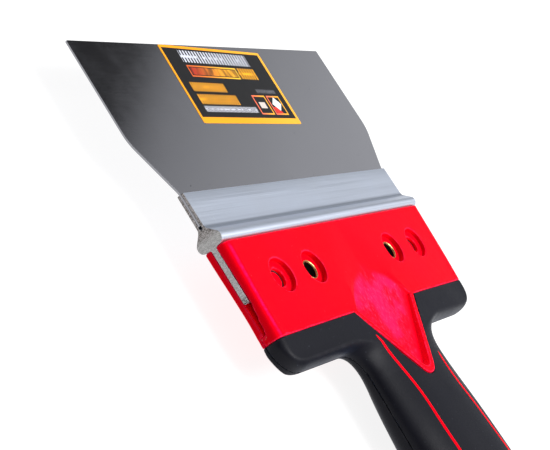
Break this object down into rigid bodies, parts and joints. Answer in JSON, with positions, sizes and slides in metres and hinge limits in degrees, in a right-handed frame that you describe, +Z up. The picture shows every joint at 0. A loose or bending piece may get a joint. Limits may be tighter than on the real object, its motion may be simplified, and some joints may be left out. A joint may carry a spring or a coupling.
{
  "type": "wide filling knife",
  "caption": "Wide filling knife with a stainless blade crimped in an aluminium holder and a red two-part handle with a black soft grip",
  "frame": {"origin": "below the middle of the tool's length and width, at the level of the grip's lowest point", "axes": "+X across the blade, +Y towards the working edge along the tool, +Z up from the grip's underside to the face that carries the label"},
  "size_m": [0.15, 0.232, 0.0219],
  "materials": {
    "blade_steel": "polished stainless sheet",
    "label": "glossy printed film, dark field with an orange frame",
    "holder_aluminium": "extruded, fine lines along the width, sawn ends",
    "red_plastic": "satin moulded plastic",
    "soft_grip": "matte soft-touch rubber",
    "rivet_brass": "bright tube rivet"
  },
  "bodies": {
    "root": {"blade": "blade_steel", "blade_label": "label", "blade_holder": "holder_aluminium", "upper_shell": "red_plastic", "lower_shell": "red_plastic", "upper_grip": "soft_grip", "lower_grip": "soft_grip", "tube_rivets": "rivet_brass"}
  },
  "joints": []
}
